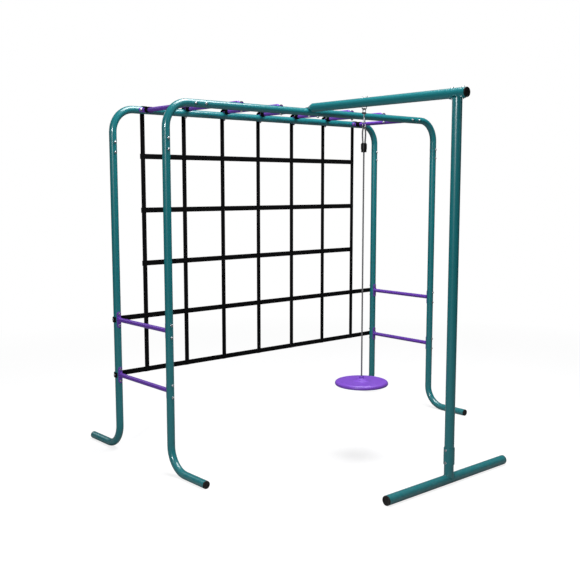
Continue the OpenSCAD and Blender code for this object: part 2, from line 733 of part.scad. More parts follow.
module swing_rope() color(grey_rope) at(arm_x, swing_y) rotate([0, 0, 90]) {
    last = len(rope_route) - 1;
    polyhedron(rope_points, concat(
        [[for (k = [0 : rope_sides - 1]) k]],
        [for (i = [0 : last - 1], k = [0 : rope_sides - 1])
            let (a = i * rope_sides, next = (k + 1) % rope_sides)
            [a + k, a + rope_sides + k, a + rope_sides + next, a + next]],
        [[for (k = [rope_sides - 1 : -1 : 0]) last * rope_sides + k]]
    ));
}

// Barrel that grips the rope and sets the length of its loop
module rope_adjuster() color(black) at(arm_x, swing_y, adjuster_low) rotate([0, 0, 90]) difference() {
    union() {
        cylinder(r = 14, h = adjuster_h);
        at(0, 0, 3) cylinder(r = 15, h = 8);
        at(0, 0, 14) intersection() {
            cylinder(r = 16.5, h = adjuster_h - 19);
            at(0, 0, (adjuster_h - 19) / 2) sphere(r = 22);
        }
    }
    at(0, 0, 6) cylinder(r = 12.8, h = adjuster_h - 12);
    translate([0, 0, -cut]) cylinder(r = rope_r + rope_gap, h = 6 + 2 * cut);
    for (side = [-1, 1]) at(side * strand_y, 0, adjuster_h - 6 - cut)
        cylinder(r = rope_r + rope_gap + 0.2, h = 6 + 2 * cut);
}

// Round plastic seat with a rounded rim, a low dome and a collar for the rope
module disc_seat() color(purple) at(arm_x, swing_y, seat_low) rotate_extrude($fn = 128)
    difference() {
        union() {
            rim = seat_thick / 2 - 2;
            translate([disc_d / 2 - rim, rim]) circle(rim);
            translate([0, 0]) square([disc_d / 2 - rim, 2 * rim]);
            square([disc_d / 2 - 2 * rim, seat_thick]);
            translate([disc_d / 2 - 2 * rim, rim]) intersection() {
                circle(seat_thick - rim);
                square([2 * rim, seat_thick]);
            }
            intersection() {
                translate([0, seat_thick + dome_h - dome_r]) circle(dome_r);
                square([dome_r, seat_thick + dome_h]);
            }
            square([collar_out_r, seat_thick + hub_h]);
        }
        translate([-cut, -cut]) square([rope_r + rope_gap + cut, 100]);
    }

// Stopper knot of the rope under the seat
module seat_knot() color(grey_rope) at(arm_x, swing_y, knot_z) intersection() {
    sphere(r = knot_r + 1.5);
    translate([0, 0, -knot_r]) cylinder(r = knot_r, h = 2 * knot_r);
}

at(0, front_y) top_tube()  // front_top_tube
    at(arm_x, 0, rail_height) cylinder(r = hole_r, h = tube_od + 2 * cut, center = true);
at(0, back_y) top_tube();  // back_top_tube
at(-leg_x, front_y) leg();  // front_left_leg
at(leg_x, front_y) leg();  // front_right_leg
at(-leg_x, back_y) mirror([0, 1, 0]) drilled_leg(-1);  // back_left_leg
at(leg_x, back_y) mirror([0, 1, 0]) drilled_leg(1);  // back_right_leg
leg_joint_bolts();
leg_joint_nuts();
end_rung(-3 * rung_pitch);  // rung_1
rung(-2 * rung_pitch);  // rung_2
rung(-rung_pitch);  // rung_3
rung(0);  // rung_4
rung(rung_pitch);  // rung_5
rung(2 * rung_pitch);  // rung_6
end_rung(3 * rung_pitch);  // rung_7
end_rung_bolts();
end_rung_nuts();
rung_bolts();
rung_nuts();
rung_bolt_caps();
side_rail(-1, high_rail_height);  // left_upper_side_rail
side_rail(-1, low_rail_height);  // left_lower_side_rail
side_rail(1, high_rail_height);  // right_upper_side_rail
side_rail(1, low_rail_height);  // right_lower_side_rail
side_rail_bolts();
side_rail_nuts();
net_screws();
net_upright(1);  // net_upright_1
net_upright(2);  // net_upright_2
net_upright(3);  // net_upright_3
net_upright(4);  // net_upright_4
net_upright(5);  // net_upright_5
net_upright(6);  // net_upright_6
net_upright(7);  // net_upright_7
net_row(1);  // net_row_1
net_row(2);  // net_row_2
net_row(3);  // net_row_3
wrapped_row(4);  // net_row_4
wrapped_row(5);  // net_row_5
swing_arm();
swing_post();
post_sleeve();
cross_foot();
arm_bolts();
arm_nuts();
foot_end_caps();
large_end_caps();
swing_u_bolt();
u_bolt_nuts();
shackle();
shackle_pin();
swivel_eye();
snap_hook();
hook_gate();
swing_rope();
rope_adjuster();
disc_seat();
seat_knot();
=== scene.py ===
"""Looks of a free-standing monkey-bar frame with a webbing net and a disc swing."""
import logging
import math
from dataclasses import dataclass, field
from enum import Enum
from typing import Iterable, Sequence

import bmesh
import bpy
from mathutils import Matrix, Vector


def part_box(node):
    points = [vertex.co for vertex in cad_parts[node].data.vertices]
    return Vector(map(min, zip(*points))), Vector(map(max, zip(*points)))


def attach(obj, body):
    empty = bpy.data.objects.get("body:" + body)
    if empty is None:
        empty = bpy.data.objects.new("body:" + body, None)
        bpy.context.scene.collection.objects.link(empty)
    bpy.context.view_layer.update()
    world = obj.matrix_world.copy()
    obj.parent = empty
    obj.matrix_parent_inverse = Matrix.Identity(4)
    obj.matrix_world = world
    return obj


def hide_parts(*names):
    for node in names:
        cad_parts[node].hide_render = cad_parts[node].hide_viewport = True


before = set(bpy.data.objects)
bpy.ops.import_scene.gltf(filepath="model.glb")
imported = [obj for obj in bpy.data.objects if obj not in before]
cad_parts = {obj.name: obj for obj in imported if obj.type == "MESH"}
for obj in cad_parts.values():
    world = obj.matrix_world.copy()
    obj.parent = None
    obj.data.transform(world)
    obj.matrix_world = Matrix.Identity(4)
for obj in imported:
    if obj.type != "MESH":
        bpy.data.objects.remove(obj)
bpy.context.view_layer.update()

log = logging.getLogger("climbing_frame")
Point = tuple[float, float, float]
Colour = tuple[float, float, float]
Polyline = list[Vector]

MM = 0.001
FULL_TURN = 2 * math.pi
HAIR = 0.1 * MM
TUBE_R = 21 * MM
RAIL_R = 12.5 * MM
ARM_R = 25 * MM
PLATE_R = 24.1 * MM
X_AXIS, Y_AXIS, Z_AXIS = Vector((1, 0, 0)), Vector((0, 1, 0)), Vector((0, 0, 1))


# --------------------------------------------------------------- sizes


@dataclass(frozen=True)
class Site:
    """Where the CAD pieces stand, read from their boxes, in metres."""

    front_y: float
    back_y: float
    leg_x: float
    rail_z: float
    rung_z: float
    rung_xs: tuple[float, ...]
    side_rail_zs: tuple[float, ...]
    row_zs: tuple[float, ...]
    arm_x: float
    arm_z: float
    post_y: float
    swing_y: float

    @classmethod
    def from_frame(cls) -> "Site":
        """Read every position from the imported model."""
        front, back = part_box("front_top_tube"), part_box("back_top_tube")
        left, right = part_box("front_left_leg"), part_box("front_right_leg")
        post, seat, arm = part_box("swing_post"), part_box("disc_seat"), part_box("swing_arm")
        rungs = [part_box(f"rung_{i}") for i in range(1, 8)]
        rows = [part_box(f"net_row_{i}") for i in range(1, 6)]
        rails = [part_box(f"left_{level}_side_rail") for level in ("lower", "upper")]
        return cls(
            front_y=middle(front, 1),
            back_y=middle(back, 1),
            leg_x=(middle(right, 0) - middle(left, 0)) / 2,
            rail_z=front[1][2] - TUBE_R,
            rung_z=middle(rungs[3], 2),
            rung_xs=tuple(middle(r, 0) for r in rungs),
            side_rail_zs=tuple(middle(r, 2) for r in rails),
            row_zs=tuple(middle(r, 2) for r in rows),
            arm_x=middle(post, 0),
            arm_z=arm[1][2] - ARM_R,
            post_y=middle(post, 1),
            swing_y=middle(seat, 1),
        )


def middle(box: Sequence[Sequence[float]], axis: int) -> float:
    """Middle of a box along one axis."""
    return (box[0][axis] + box[1][axis]) / 2


def around(count: int) -> list[float]:
    """Angles of equal steps round a full turn, without the last."""
    return [FULL_TURN * k / count for k in range(count)]


# --------------------------------------------------------------- node trees


class Graph:
    """Adds and joins the nodes of one tree."""

    def __init__(self, tree: bpy.types.NodeTree) -> None:
        """Work on an existing tree.

        Args:
            tree: the shader or geometry tree that gets the nodes.
        """
        self.tree = tree

    def node(self, kind: str, **settings: object) -> bpy.types.Node:
        """Add a node.

        Args:
            kind: the node's type identifier.
            settings: properties set on the new node.

        Returns:
            The new node.
        """
        made = self.tree.nodes.new(kind)
        for key, value in settings.items():
            setattr(made, key, value)
        return made

    def put(self, value: object, socket: bpy.types.NodeSocket) -> None:
        """Join a socket to another socket, or set its value."""
        if isinstance(value, bpy.types.NodeSocket):
            self.tree.links.new(value, socket)
        else:
            socket.default_value = value

    def math(self, operation: str, first: object, second: object = None,
             clamp: bool = False) -> bpy.types.NodeSocket:
        """Add a math node.

        Args:
            operation: the node's operation.
            first: first input, a number or a socket.
            second: second input, where the operation has one.
            clamp: whether the result is held between 0 and 1.

        Returns:
            The result's socket.
        """
        made = self.node("ShaderNodeMath", operation=operation, use_clamp=clamp)
        self.put(first, made.inputs[0])
        if second is not None:
            self.put(second, made.inputs[1])
        return made.outputs[0]

    def noise(self, vector: object, scale: object, detail: float = 2.0,
              roughness: float = 0.5) -> bpy.types.NodeSocket:
        """Add a noise texture and return its factor."""
        made = self.node("ShaderNodeTexNoise")
        self.put(vector, made.inputs["Vector"])
        self.put(scale, made.inputs["Scale"])
        made.inputs["Detail"].default_value = detail
        made.inputs["Roughness"].default_value = roughness
        return made.outputs["Fac"]

    def span(self, value: object, low: float, high: float, to_low: object,
             to_high: object) -> bpy.types.NodeSocket:
        """Map a value from one range to another, clamped."""
        made = self.node("ShaderNodeMapRange")
        for key, item in (("Value", value), ("From Min", low), ("From Max", high),
                          ("To Min", to_low), ("To Max", to_high)):
            self.put(item, made.inputs[key])
        return made.outputs["Result"]


@dataclass(frozen=True)
class GroupSocket:
    """One named input or output of a node group."""

    name: str
    kind: str = "NodeSocketFloat"
    default: float | None = None


def new_group(name: str, inputs: Sequence[GroupSocket], outputs: Sequence[GroupSocket],
              tree_type: str = "ShaderNodeTree"
              ) -> tuple[Graph, bpy.types.Node, bpy.types.Node]:
    """Make an empty node group with named sockets.

    Args:
        name: the group's name.
        inputs: its inputs, in order.
        outputs: its outputs, in order.
        tree_type: the kind of tree.

    Returns:
        The graph, the input node and the output node.
    """
    tree = bpy.data.node_groups.new(name, tree_type)
    for direction, sockets in (("INPUT", inputs), ("OUTPUT", outputs)):
        for item in sockets:
            made = tree.interface.new_socket(item.name, in_out=direction,
                                             socket_type=item.kind)
            if item.default is not None:
                made.default_value = item.default
    graph = Graph(tree)
    return graph, graph.node("NodeGroupInput"), graph.node("NodeGroupOutput")


VECTOR = GroupSocket("Vector", "NodeSocketVector")


class Effects:
    """Surface effects that several finishes share, each built once."""

    def __init__(self) -> None:
        """Build every group."""
        self.skin = self._skin()
        self.dust = self._dust()
        self.rub = self._rub()
        self.weave = self._weave()
        self.fibres = self._fibres()

    @staticmethod
    def _skin() -> bpy.types.NodeTree:
        """Slow drift of tone and a fine relief, for paint, plastic and zinc."""
        graph, given, result = new_group(
            "surface_skin",
            [VECTOR, GroupSocket("Drift Scale", default=6.0),
             GroupSocket("Drift", default=0.05), GroupSocket("Grain Scale", default=500.0)],
            [GroupSocket("Tone"), GroupSocket("Relief")])
        drift = graph.noise(given.outputs["Vector"], given.outputs["Drift Scale"], detail=3.0)
        centred = graph.math("SUBTRACT", drift, 0.5)
        swing = graph.math("MULTIPLY", centred, given.outputs["Drift"])
        graph.put(graph.math("ADD", swing, 1.0), result.inputs["Tone"])
        grain = graph.noise(given.outputs["Vector"], given.outputs["Grain Scale"])
        graph.put(grain, result.inputs["Relief"])
        return graph.tree

    @staticmethod
    def _dust() -> bpy.types.NodeTree:
        """Pale dust that gathers low down and on faces that look up."""
        graph, given, result = new_group(
            "settled_dust",
            [VECTOR, GroupSocket("Reach", default=0.12), GroupSocket("Amount", default=0.2)],
            [GroupSocket("Dust")])
        parts = graph.node("ShaderNodeSeparateXYZ")
        graph.put(given.outputs["Vector"], parts.inputs[0])
        low = graph.math("DIVIDE", parts.outputs["Z"], given.outputs["Reach"])
        near_floor = graph.math("SUBTRACT", 1.0, low, clamp=True)
        shape = graph.node("ShaderNodeNewGeometry")
        up = graph.node("ShaderNodeSeparateXYZ")
        graph.put(shape.outputs["Normal"], up.inputs[0])
        lying = graph.span(up.outputs["Z"], low=0.4, high=1.0, to_low=0.0, to_high=0.35)
        patches = graph.noise(given.outputs["Vector"], scale=45.0, detail=4.0)
        patchy = graph.span(patches, low=0.35, high=0.7, to_low=0.2, to_high=1.0)
        both = graph.math("MAXIMUM", near_floor, lying)
        spread = graph.math("MULTIPLY", both, patchy)
        graph.put(graph.math("MULTIPLY", spread, given.outputs["Amount"], clamp=True),
                  result.inputs["Dust"])
        return graph.tree

    @staticmethod
    def _rub() -> bpy.types.NodeTree:
        """Small scattered rub marks."""
        graph, given, result = new_group(
            "rub_marks", [VECTOR, GroupSocket("Amount", default=0.3)],
            [GroupSocket("Mark")])
        areas = graph.noise(given.outputs["Vector"], scale=9.0, detail=2.0)
        specks = graph.noise(given.outputs["Vector"], scale=160.0, detail=5.0,
                             roughness=0.65)
        coarse = graph.span(areas, low=0.5, high=0.7, to_low=0.0, to_high=1.0)
        fine = graph.span(specks, low=0.6, high=0.72, to_low=0.0, to_high=1.0)
        both = graph.math("MULTIPLY", coarse, fine)
        graph.put(graph.math("MULTIPLY", both, given.outputs["Amount"], clamp=True),
                  result.inputs["Mark"])
        return graph.tree

    @staticmethod
    def _weave() -> bpy.types.NodeTree:
        """Ribs along a band and the picks that cross them, on its own UV map; its tone is
        painted shade in the grooves plus random fuzz.
        """
        graph, given, result = new_group(
            "woven_band",
            [VECTOR, GroupSocket("Ribs", default=13.0), GroupSocket("Picks", default=12.0)],
            [GroupSocket("Relief"), GroupSocket("Tone")])
        parts = graph.node("ShaderNodeSeparateXYZ")
        graph.put(given.outputs["Vector"], parts.inputs[0])
        along = graph.math("MULTIPLY", parts.outputs["X"], given.outputs["Picks"])
        across = graph.math("MULTIPLY", parts.outputs["Y"], given.outputs["Ribs"])
        rib = graph.math("ABSOLUTE", graph.math(
            "SINE", graph.math("MULTIPLY", across, math.pi)))
        which = graph.math("MULTIPLY", graph.math("FLOOR", across), 0.5)
        pick = graph.math("ABSOLUTE", graph.math(
            "SINE", graph.math("MULTIPLY", graph.math("ADD", along, which), math.pi)))
        pick_depth, groove_shade_share, fuzz_share = 0.6, 0.7, 0.6
        relief = graph.math("MULTIPLY", rib, graph.math(
            "ADD", graph.math("MULTIPLY", pick, pick_depth), 1.0 - pick_depth))
        graph.put(relief, result.inputs["Relief"])
        fuzz = graph.noise(given.outputs["Vector"], scale=30.0, detail=4.0)
        # painted shade: the tone rises with the relief, so the grooves between ribs and picks
        # are darker
        tone = graph.math("ADD", graph.math("MULTIPLY", relief, groove_shade_share),
                          graph.math("MULTIPLY", fuzz, fuzz_share))
        graph.put(tone, result.inputs["Tone"])
        return graph.tree

    @staticmethod
    def _fibres() -> bpy.types.NodeTree:
        """Fine yarns that run along each strand, on its own UV map; its tone is painted shade
        between the yarns plus random specks.
        """
        graph, given, result = new_group(
            "laid_fibres",
            [VECTOR, GroupSocket("Yarns", default=40.0), GroupSocket("Lay", default=6.0)],
            [GroupSocket("Relief"), GroupSocket("Tone")])
        parts = graph.node("ShaderNodeSeparateXYZ")
        graph.put(given.outputs["Vector"], parts.inputs[0])
        turned = graph.math("ADD", graph.math("MULTIPLY", parts.outputs["Y"],
                                              given.outputs["Yarns"]),
                            graph.math("MULTIPLY", parts.outputs["X"], given.outputs["Lay"]))
        yarn = graph.math("ABSOLUTE", graph.math("SINE", turned))
        graph.put(yarn, result.inputs["Relief"])
        yarn_shade_share, speck_share, ground = 0.35, 0.7, 0.3
        speck = graph.noise(given.outputs["Vector"], scale=60.0, detail=4.0, roughness=0.7)
        specked = graph.math("ADD", graph.math("MULTIPLY", speck, speck_share), ground)
        # painted shade: the tone rises with the yarn relief, so the grooves between yarns are
        # darker
        tone = graph.math("ADD", graph.math("MULTIPLY", yarn, yarn_shade_share), specked)
        graph.put(tone, result.inputs["Tone"])
        return graph.tree


# --------------------------------------------------------------- finishes


class Pattern(Enum):
    """Which coordinates and relief a finish follows."""

    SOLID = "solid"
    WOVEN = "woven"
    LAID = "laid"


COAT_ROUGHNESS = 0.12
RELIEF_SPREAD = 0.06
DUST_COLOUR = (0.42, 0.4, 0.37, 1.0)
DUST_DULLS = 0.4


@dataclass(frozen=True)
class Finish:
    """One surface finish: its colour, gloss, relief and wear."""

    name: str
    slot: str
    colour: Colour
    roughness: float = 0.4
    metallic: float = 0.0
    coat: float = 0.0
    specular: float = 0.5
    pattern: Pattern = Pattern.SOLID
    drift: float = 0.1
    drift_scale: float = 5.0
    grain_scale: float = 500.0
    relief: float = 0.1
    relief_depth: float = 0.2 * MM
    dust: float = 0.0
    rub: float = 0.0
    rub_colour: Colour = (0.5, 0.5, 0.5)

    def material(self, effects: Effects) -> bpy.types.Material:
        """Build the finish as a material.

        Args:
            effects: the shared shader groups.

        Returns:
            The new material.
        """
        made = bpy.data.materials.new(self.name)
        made.use_nodes = True
        made.node_tree.nodes.clear()
        graph = Graph(made.node_tree)
        out = graph.node("ShaderNodeOutputMaterial")
        shader = graph.node("ShaderNodeBsdfPrincipled")
        graph.put(shader.outputs["BSDF"], out.inputs["Surface"])
        shader.inputs["Metallic"].default_value = self.metallic
        shader.inputs["Coat Weight"].default_value = self.coat
        shader.inputs["Coat Roughness"].default_value = COAT_ROUGHNESS
        shader.inputs["Specular IOR Level"].default_value = self.specular
        where = graph.node("ShaderNodeTexCoord")
        tone, relief = self._surface(graph, effects, where)
        colour = self._mix(graph, "MULTIPLY", 1.0, (*self.colour, 1.0), tone)
        if self.rub:
            mark = self._group(graph, effects.rub, where.outputs["Object"], Amount=self.rub)
            colour = self._mix(graph, "MIX", mark.outputs["Mark"], colour,
                               (*self.rub_colour, 1.0))
        rough: object = graph.math("ADD", graph.math("MULTIPLY", relief, RELIEF_SPREAD),
                                   self.roughness - RELIEF_SPREAD / 2)
        if self.dust:
            film = self._group(graph, effects.dust, where.outputs["Object"],
                               Amount=self.dust)
            colour = self._mix(graph, "MIX", film.outputs["Dust"], colour,
                               DUST_COLOUR)
            rough = graph.math("ADD", rough, graph.math(
                "MULTIPLY", film.outputs["Dust"], DUST_DULLS), clamp=True)
        graph.put(colour, shader.inputs["Base Color"])
        graph.put(rough, shader.inputs["Roughness"])
        bump = graph.node("ShaderNodeBump")
        bump.inputs["Strength"].default_value = self.relief
        bump.inputs["Distance"].default_value = self.relief_depth
        graph.put(relief, bump.inputs["Height"])
        graph.put(bump.outputs["Normal"], shader.inputs["Normal"])
        return made

    def _surface(self, graph: Graph, effects: Effects, where: bpy.types.Node
                 ) -> tuple[bpy.types.NodeSocket, bpy.types.NodeSocket]:
        """Return the tone and the relief of the finish's own pattern."""
        if self.pattern is Pattern.WOVEN:
            band = self._group(graph, effects.weave, where.outputs["UV"])
            # the woven tone darkens the band's grooves as painted shade
            tone = graph.span(band.outputs["Tone"], low=0.0, high=1.2, to_low=0.6, to_high=1.25)
            return tone, band.outputs["Relief"]
        if self.pattern is Pattern.LAID:
            band = self._group(graph, effects.fibres, where.outputs["UV"])
            # the laid tone darkens the rope's grooves as painted shade
            tone = graph.span(band.outputs["Tone"], low=0.2, high=1.2, to_low=0.55, to_high=1.35)
            return tone, band.outputs["Relief"]
        skin = self._group(graph, effects.skin, where.outputs["Object"])
        skin.inputs["Drift"].default_value = self.drift
        skin.inputs["Drift Scale"].default_value = self.drift_scale
        skin.inputs["Grain Scale"].default_value = self.grain_scale
        return skin.outputs["Tone"], skin.outputs["Relief"]

    @staticmethod
    def _group(graph: Graph, tree: bpy.types.NodeTree, vector: bpy.types.NodeSocket,
               **values: float) -> bpy.types.Node:
        """Place a shared group and give it its coordinates and values."""
        made = graph.node("ShaderNodeGroup", node_tree=tree)
        graph.put(vector, made.inputs["Vector"])
        for key, value in values.items():
            made.inputs[key].default_value = value
        return made

    @staticmethod
    def _mix(graph: Graph, blend: str, factor: object, first: object, second: object
             ) -> bpy.types.NodeSocket:
        """Blend two colours."""
        made = graph.node("ShaderNodeMix", data_type="RGBA", blend_type=blend)
        graph.put(factor, made.inputs[0])
        graph.put(first, made.inputs[6])
        graph.put(second, made.inputs[7])
        return made.outputs[2]


TEAL = Finish("teal_powder_coat", "teal_paint", (0.01, 0.185, 0.21), roughness=0.3,
              coat=0.6, drift=0.1, drift_scale=3.0, grain_scale=700.0, relief=0.12,
              relief_depth=0.15 * MM, dust=0.12, rub=0.25, rub_colour=(0.05, 0.2, 0.22))
TEAL_SEAM = Finish("teal_seam_shadow", "teal_paint", (0.004, 0.02, 0.022), roughness=0.7)
PURPLE = Finish("purple_powder_coat", "purple_paint", (0.15, 0.05, 0.43), roughness=0.3,
                coat=0.15, specular=0.4, drift=0.12, drift_scale=4.0, grain_scale=700.0,
                relief=0.12, relief_depth=0.15 * MM, dust=0.1, rub=0.3,
                rub_colour=(0.3, 0.2, 0.55))
SEAT = Finish("purple_seat_plastic", "purple_plastic", (0.22, 0.075, 0.6), roughness=0.42,
              coat=0.1, drift=0.1, drift_scale=8.0, grain_scale=1400.0, relief=0.3,
              relief_depth=0.12 * MM, dust=0.08, rub=0.15, rub_colour=(0.4, 0.28, 0.7))
BLACK = Finish("black_plastic_grain", "black_plastic", (0.004, 0.004, 0.0045),
               roughness=0.42, specular=0.25, drift=0.3, grain_scale=1500.0, relief=0.35,
               relief_depth=0.12 * MM, dust=0.06, rub=0.1, rub_colour=(0.06, 0.06, 0.06))
WEBBING = Finish("black_webbing_weave", "black_webbing", (0.004, 0.004, 0.0045),
                 roughness=0.8, specular=0.06, pattern=Pattern.WOVEN, relief=0.12,
                 relief_depth=0.25 * MM)
THREAD = Finish("grey_sewing_thread", "black_webbing", (0.014, 0.014, 0.015),
                roughness=0.6, specular=0.2, drift=0.4, drift_scale=90.0)
ROPE = Finish("grey_laid_rope", "grey_rope", (0.17, 0.17, 0.175), roughness=0.75,
              specular=0.2, pattern=Pattern.LAID, relief=0.6, relief_depth=0.4 * MM)
ZINC = Finish("bright_zinc_plate", "zinc_steel", (0.46, 0.48, 0.5), roughness=0.36,
              metallic=1.0, drift=0.25, drift_scale=60.0, grain_scale=900.0, relief=0.15)


class Wardrobe:
    """Builds each finish once and puts it on CAD nodes and new pieces."""

    def __init__(self) -> None:
        """Build the shared effects."""
        self._effects = Effects()
        self._made: dict[str, bpy.types.Material] = {}

    def material(self, finish: Finish) -> bpy.types.Material:
        """Return the finish's material, building it the first time."""
        if finish.name not in self._made:
            self._made[finish.name] = finish.material(self._effects)
        return self._made[finish.name]

    def dress_nodes(self, finish: Finish, names: Iterable[str]) -> None:
        """Put a finish on CAD nodes.

        Args:
            finish: the finish.
            names: the nodes' names.
        """
        for name in names:
            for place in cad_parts[name].material_slots:
                place.material = self.material(finish)
            log.info("dressed %s in %s", name, finish.name)

    def dress(self, piece: bpy.types.Object, finish: Finish, body: str,
              *replaced: str) -> bpy.types.Object:
        """Finish a new piece and tie it to the frame.

        Args:
            piece: the new piece.
            finish: its finish.
            body: the CAD body that it rides on.
            replaced: the CAD nodes that it stands for.

        Returns:
            The same piece.
        """
        piece.data.materials.clear()
        piece.data.materials.append(self.material(finish))
        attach(piece, body)
        if replaced:
            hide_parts(*replaced)
        log.info("made %s: %d faces", piece.name, len(piece.data.polygons))
        return piece


# --------------------------------------------------------------- mesh helpers


def stand(name: str, data: bpy.types.ID) -> bpy.types.Object:
    """Make an object of some data and put it in the scene."""
    made = bpy.data.objects.new(name, data)
    bpy.context.scene.collection.objects.link(made)
    return made


def new_piece(name: str, points: Sequence[Sequence[float]],
              faces: Sequence[Sequence[int]],
              uvs: Sequence[tuple[float, float]] | None = None) -> bpy.types.Object:
    """Make a mesh object whose place is in its mesh.

    Args:
        name: the piece's name.
        points: vertices, in metres.
        faces: vertex indices of each face.
        uvs: one UV for each face corner, in face order.

    Returns:
        The linked object.
    """
    mesh = bpy.data.meshes.new(name)
    mesh.from_pydata([tuple(p) for p in points], [], [tuple(f) for f in faces])
    if uvs is not None:
        layer = mesh.uv_layers.new(name="band")
        for corner, value in enumerate(uvs):
            layer.data[corner].uv = value
    mesh.polygons.foreach_set("use_smooth", [True] * len(mesh.polygons))
    mesh.update()
    return stand(name, mesh)


def face_outwards(piece: bpy.types.Object) -> None:
    """Turn every face of a closed piece outwards."""
    work = bmesh.new()
    work.from_mesh(piece.data)
    bmesh.ops.recalc_face_normals(work, faces=work.faces)
    work.to_mesh(piece.data)
    work.free()


def ring(across: Vector, other: Vector, r: float, sides: int) -> list[Vector]:
    """Offsets of a round section, spanned by two unit directions."""
    return [across * r * math.cos(a) + other * r * math.sin(a) for a in around(sides)]


class Band:
    """Collects swept bands or cords into one mesh."""

    def __init__(self) -> None:
        """Start empty."""
        self.points: list[Vector] = []
        self.faces: list[tuple[int, ...]] = []
        self.uvs: list[tuple[float, float]] = []

    def sweep(self, centres: Sequence[Vector], sections: Sequence[Sequence[Vector]],
              closed: bool = False, unit: float = 0.025) -> None:
        """Sweep closed sections along a line.

        Args:
            centres: the line's points.
            sections: for each point, the section's offsets from it.
            closed: whether the line joins its own start.
            unit: length of line that one unit of U covers, in metres.
        """
        base, sides, count = len(self.points), len(sections[0]), len(centres)
        reach = [0.0]
        for a, b in zip(centres, centres[1:]):
            reach.append(reach[-1] + (b - a).length)
        reach.append(reach[-1] + (centres[0] - centres[-1]).length)
        for centre, section in zip(centres, sections):
            self.points += [centre + offset for offset in section]
        for i in range(count if closed else count - 1):
            j = (i + 1) % count
            u, v = reach[i] / unit, reach[i + 1] / unit
            for k in range(sides):
                n = (k + 1) % sides
                self.faces.append((base + i * sides + k, base + i * sides + n,
                                   base + j * sides + n, base + j * sides + k))
                low, high = k / sides, (k + 1) / sides
                self.uvs += [(u, low), (u, high), (v, high), (v, low)]
        if not closed:
            for i, order in ((0, range(sides - 1, -1, -1)), (count - 1, range(sides))):
                self.faces.append(tuple(base + i * sides + k for k in order))
                self.uvs += [(reach[i] / unit, k / sides) for k in order]

    def piece(self, name: str) -> bpy.types.Object:
        """Return everything collected as one object."""
        made = new_piece(name, self.points, self.faces, uvs=self.uvs)
        face_outwards(made)
        return made


# --------------------------------------------------------------- repeats on paths


